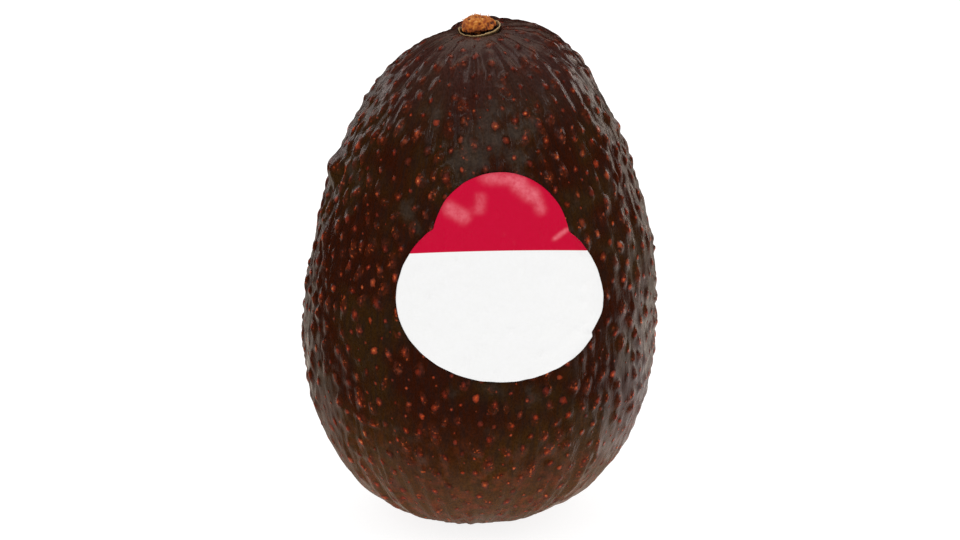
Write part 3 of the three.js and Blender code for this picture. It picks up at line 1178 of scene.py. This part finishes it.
@dataclass
class Label:
    """The blank die-cut sticker: a wide oval with a round lobe, pressed over the pebbles."""

    # Outline, in millimetres on the flat sheet.
    half_width: float = 19.3
    upper_rise: float = 16.8
    lower_drop: float = 15.4
    lobe_radius: float = 12.7
    lobe_rise: float = 10.8
    waves: float = 7.0
    wave_depth: float = 0.12
    # The nick's start, its deepest point and its end, as angles round the oval's centre.
    nick_angles: tuple[float, float, float] = (-0.06, -0.32, -0.37)
    nick_depth: float = 0.55
    centre: Vector = Vector((4.7, 0.0, 43.3)) * MM
    pitch: float = math.radians(20)
    turn: float = math.radians(-1)
    cells: int = 130
    settling: int = 90
    cast_from: float = 60 * MM
    lift: float = 0.2 * MM
    thickness: float = 0.1 * MM
    creases: tuple[Crease, ...] = (
        Crease((-10.7, 17.2), (-5.9, 14.5), 1.5, 0.26 * MM),
        Crease((-3.7, 19.6), (-4.2, 15.6), 1.3, 0.18 * MM),
        Crease((-4.1, 22.4), (3.7, 22.2), 1.4, 0.24 * MM),
        Crease((2.4, 21.6), (5.8, 19.0), 1.7, 0.24 * MM),
        Crease((5.9, 20.2), (7.6, 15.8), 1.3, 0.22 * MM),
        Crease((9.6, 11.2), (12.6, 13.4), 0.5, 0.3 * MM),
        Crease((-17.0, 3.0), (-13.5, -4.0), 0.9, 0.1 * MM),
        Crease((17.8, -6.2), (14.0, -7.0), 0.6, 0.14 * MM),
    )
    deepest: float = 0.34 * MM
    finish: LabelFinish = LabelFinish()

    def reach(self, angle: float) -> float:
        """Distance from the oval's centre to the label's edge, in millimetres.

        Args:
            angle: Direction on the sheet, from its right side.

        Returns:
            The distance.
        """
        across, up = math.cos(angle), math.sin(angle)
        drop = self.upper_rise if up > 0 else self.lower_drop
        oval = 1.0 / math.hypot(across / self.half_width, up / drop)
        towards = self.lobe_rise * up
        lobe = towards + math.sqrt(towards ** 2 + self.lobe_radius ** 2 - self.lobe_rise ** 2)
        ragged = noise.noise(Vector((across, up, 0.0)) * self.waves) * self.wave_depth
        begin, deepest, end = self.nick_angles
        nicked = smoothstep(end, deepest, angle) * min(max((begin - angle) / (begin - deepest), 0.0), 1.0)
        return max(oval, lobe) + ragged - self.nick_depth * nicked

    def build(self, rind: bpy.types.Object) -> bpy.types.Object:
        """Builds the label on the rind, in the place of the CAD label.

        Args:
            rind: The finished rind.

        Returns:
            The label's object.
        """
        facing = Euler((math.pi / 2 - self.pitch, 0.0, 0.0)).to_matrix().to_4x4()
        stand = Matrix.Translation(self.centre) @ facing @ Matrix.Rotation(self.turn, 4, "Z")
        skin = bmesh.new()
        skin.from_mesh(rind.data)
        bmesh.ops.transform(skin, matrix=stand.inverted(), verts=skin.verts)
        tree = BVHTree.FromBMesh(skin)
        skin.free()
        shape = self.flat_sheet()
        above = UP * self.cast_from
        grounds = [tree.ray_cast(v.co + above, -UP)[0].z + self.lift for v in shape.verts]
        for vert, ground in zip(shape.verts, grounds):
            vert.co.z = ground
        for _ in range(self.settling):
            soften(shape, shape.verts, 1, "z")
            for vert, ground in zip(shape.verts, grounds):
                vert.co.z = max(vert.co.z, ground)
        flat_layer = shape.verts.layers.float_vector[Field.FLAT.value]
        for vert in shape.verts:
            lift = sum(c.lift(vert.co.x / MM, vert.co.y / MM) for c in self.creases)
            vert.co.z += lift
            # Share of the deepest crease, where the finish paints a highlight.
            vert[flat_layer].z = lift / self.deepest
        bmesh.ops.recalc_face_normals(shape, faces=shape.faces)
        if shape.faces[0].normal.z < 0:
            bmesh.ops.reverse_faces(shape, faces=shape.faces)
        bmesh.ops.solidify(shape, geom=shape.faces[:], thickness=self.thickness)
        bmesh.ops.transform(shape, matrix=stand, verts=shape.verts)
        piece = new_piece("paper_label", shape, self.finish.material())
        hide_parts("label")
        LOG.info("label with %d creases", len(self.creases))
        return piece

    def flat_sheet(self) -> bmesh.types.BMesh:
        """Makes the label as a flat grid stretched to its outline.

        Returns:
            A flat mesh, with each vertex's place on the sheet noted in millimetres.
        """
        shape = bmesh.new()
        bmesh.ops.create_grid(shape, x_segments=self.cells, y_segments=self.cells, size=1.0)
        flat_layer = shape.verts.layers.float_vector.new(Field.FLAT.value)
        for vert in shape.verts:
            across = vert.co.x * math.sqrt(1 - vert.co.y ** 2 / 2)
            up = vert.co.y * math.sqrt(1 - vert.co.x ** 2 / 2)
            reach = self.reach(math.atan2(up, across))
            vert[flat_layer] = (across * reach, up * reach, 0.0)
            vert.co = Vector((across, up, 0.0)) * reach * MM
        return shape


@dataclass(frozen=True)
class Softbox:
    """One soft light of the studio."""

    name: str
    place: tuple[float, float, float]
    size: Pair
    radiance: float
    lies_flat: bool = False
    tint: str = "#fff0e0"

    def build(self, target: Vector) -> bpy.types.Object:
        """Hangs the light so that it faces the target, or lays it on the floor to shine up.

        Args:
            target: Point that it faces.

        Returns:
            The light's object.
        """
        lamp = bpy.data.lights.new(self.name, "AREA")
        lamp.shape = "RECTANGLE"
        lamp.size, lamp.size_y = self.size
        lamp.energy = self.radiance * math.pi * self.size[0] * self.size[1]
        lamp.color = linear(self.tint)[:3]
        light = bpy.data.objects.new(self.name, lamp)
        light.location = self.place
        back = -UP if self.lies_flat else Vector(self.place) - target
        light.rotation_euler = back.to_track_quat("Z", "Y").to_euler()
        light.visible_camera = False
        bpy.context.scene.collection.objects.link(light)
        return light


@dataclass
class Studio:
    """Pale floor, soft lights and the camera at the photograph's viewing angle."""

    target: Vector = Vector((1.0, 0.0, 49.1)) * MM
    elevation: float = math.radians(20)
    distance: float = 0.9
    pixels_per_mm: float = 5.22
    frame_width: int = 960
    sensor: float = 36.0
    floor_half: float = 3.0
    floor_colour: str = "#909090"
    floor_roughness: float = 0.9
    floor_specular: float = 0.0
    floor_glow: float = 0.85
    air: float = 0.95
    cool: str = "#fff6f2"
    softboxes: tuple[Softbox, ...] = (
        Softbox("left_softbox", (-0.42, 0.58, 0.12), (0.07, 0.4), 2.3, tint=cool),
        Softbox("right_softbox", (0.45, 0.55, 0.12), (0.08, 0.4), 2.6),
        Softbox("left_high_softbox", (-0.48, 0.44, 0.3), (0.08, 0.4), 2.6, tint=cool),
        Softbox("right_high_softbox", (0.48, 0.44, 0.3), (0.08, 0.4), 4.2, tint=cool),
        Softbox("top_softbox", (0.0, 0.5, 0.65), (0.8, 0.3), 1.0),
        Softbox("zenith_softbox", (0.05, 0.1, 0.9), (0.24, 0.32), 1.7, tint=cool),
        Softbox("front_left_softbox", (-0.3, -0.75, 0.8), (0.1, 0.1), 10.0, tint=WHITE),
        Softbox("front_right_softbox", (0.4, -0.65, 0.8), (0.1, 0.1), 9.0, tint=WHITE),
        Softbox("floor_glow", (0.12, 0.23, 0.001), (0.52, 0.36), 0.45, True),
        Softbox("right_glow", (0.14, 0.03, 0.001), (0.1, 0.12), 0.75, True, cool),
        Softbox("right_foot_glow", (0.062, 0.02, 0.001), (0.05, 0.07), 0.75, True, cool),
        Softbox("base_glow", (0.02, 0.04, 0.001), (0.24, 0.1), 0.4, True),
        Softbox("under_glow", (0.01, -0.02, 0.001), (0.1, 0.034), 0.25, True),
    )

    def build(self) -> None:
        """Builds the floor, the air light, the softboxes and the camera."""
        self.lay_floor()
        self.fill_air()
        for softbox in self.softboxes:
            softbox.build(self.target)
        self.place_camera()
        bpy.context.scene.view_settings.view_transform = "Standard"

    def lay_floor(self) -> None:
        """Lays a plain pale floor of matt paper, which glows so that it stays white."""
        shape = bmesh.new()
        bmesh.ops.create_grid(shape, x_segments=1, y_segments=1, size=self.floor_half)
        mesh = bpy.data.meshes.new("floor")
        shape.to_mesh(mesh)
        shape.free()
        material, tree = new_material("pale_floor")
        values = (self.floor_colour, self.floor_roughness, self.floor_specular, WHITE, self.floor_glow)
        add_node(tree, Node.SURFACE, add_node(tree, Node.GLOWING_SHADER, *values))
        mesh.materials.append(material)
        floor = bpy.data.objects.new("floor", mesh)
        floor.visible_glossy = False
        bpy.context.scene.collection.objects.link(floor)

    def fill_air(self) -> None:
        """Fills the studio with even white light that shows in no reflection."""
        world = bpy.data.worlds.new("studio_air")
        world.use_nodes = True
        background = world.node_tree.nodes["Background"]
        background.inputs["Color"].default_value = linear(WHITE)
        background.inputs["Strength"].default_value = self.air
        bpy.context.scene.world = world
        world.cycles_visibility.glossy = False

    def place_camera(self) -> None:
        """Places the camera, with a lens that gives the photograph's scale."""
        camera = bpy.data.cameras.new("camera")
        camera.sensor_width = self.sensor
        camera.lens = self.sensor * self.distance * self.pixels_per_mm / (self.frame_width * MM)
        holder = bpy.data.objects.new("camera", camera)
        back = Vector((0.0, -math.cos(self.elevation), math.sin(self.elevation)))
        holder.location = self.target + back * self.distance
        holder.rotation_euler = back.to_track_quat("Z", "Y").to_euler()
        bpy.context.scene.collection.objects.link(holder)
        bpy.context.scene.camera = holder


def main() -> None:
    """Builds the studio and every piece of the avocado, in order."""
    logging.basicConfig(level=logging.INFO)
    Studio().build()
    rind = Rind()
    skin = rind.build()
    StemButton().build()
    StemCollar().build(rind)
    Label().build(skin)


if __name__ == "__main__":
    main()
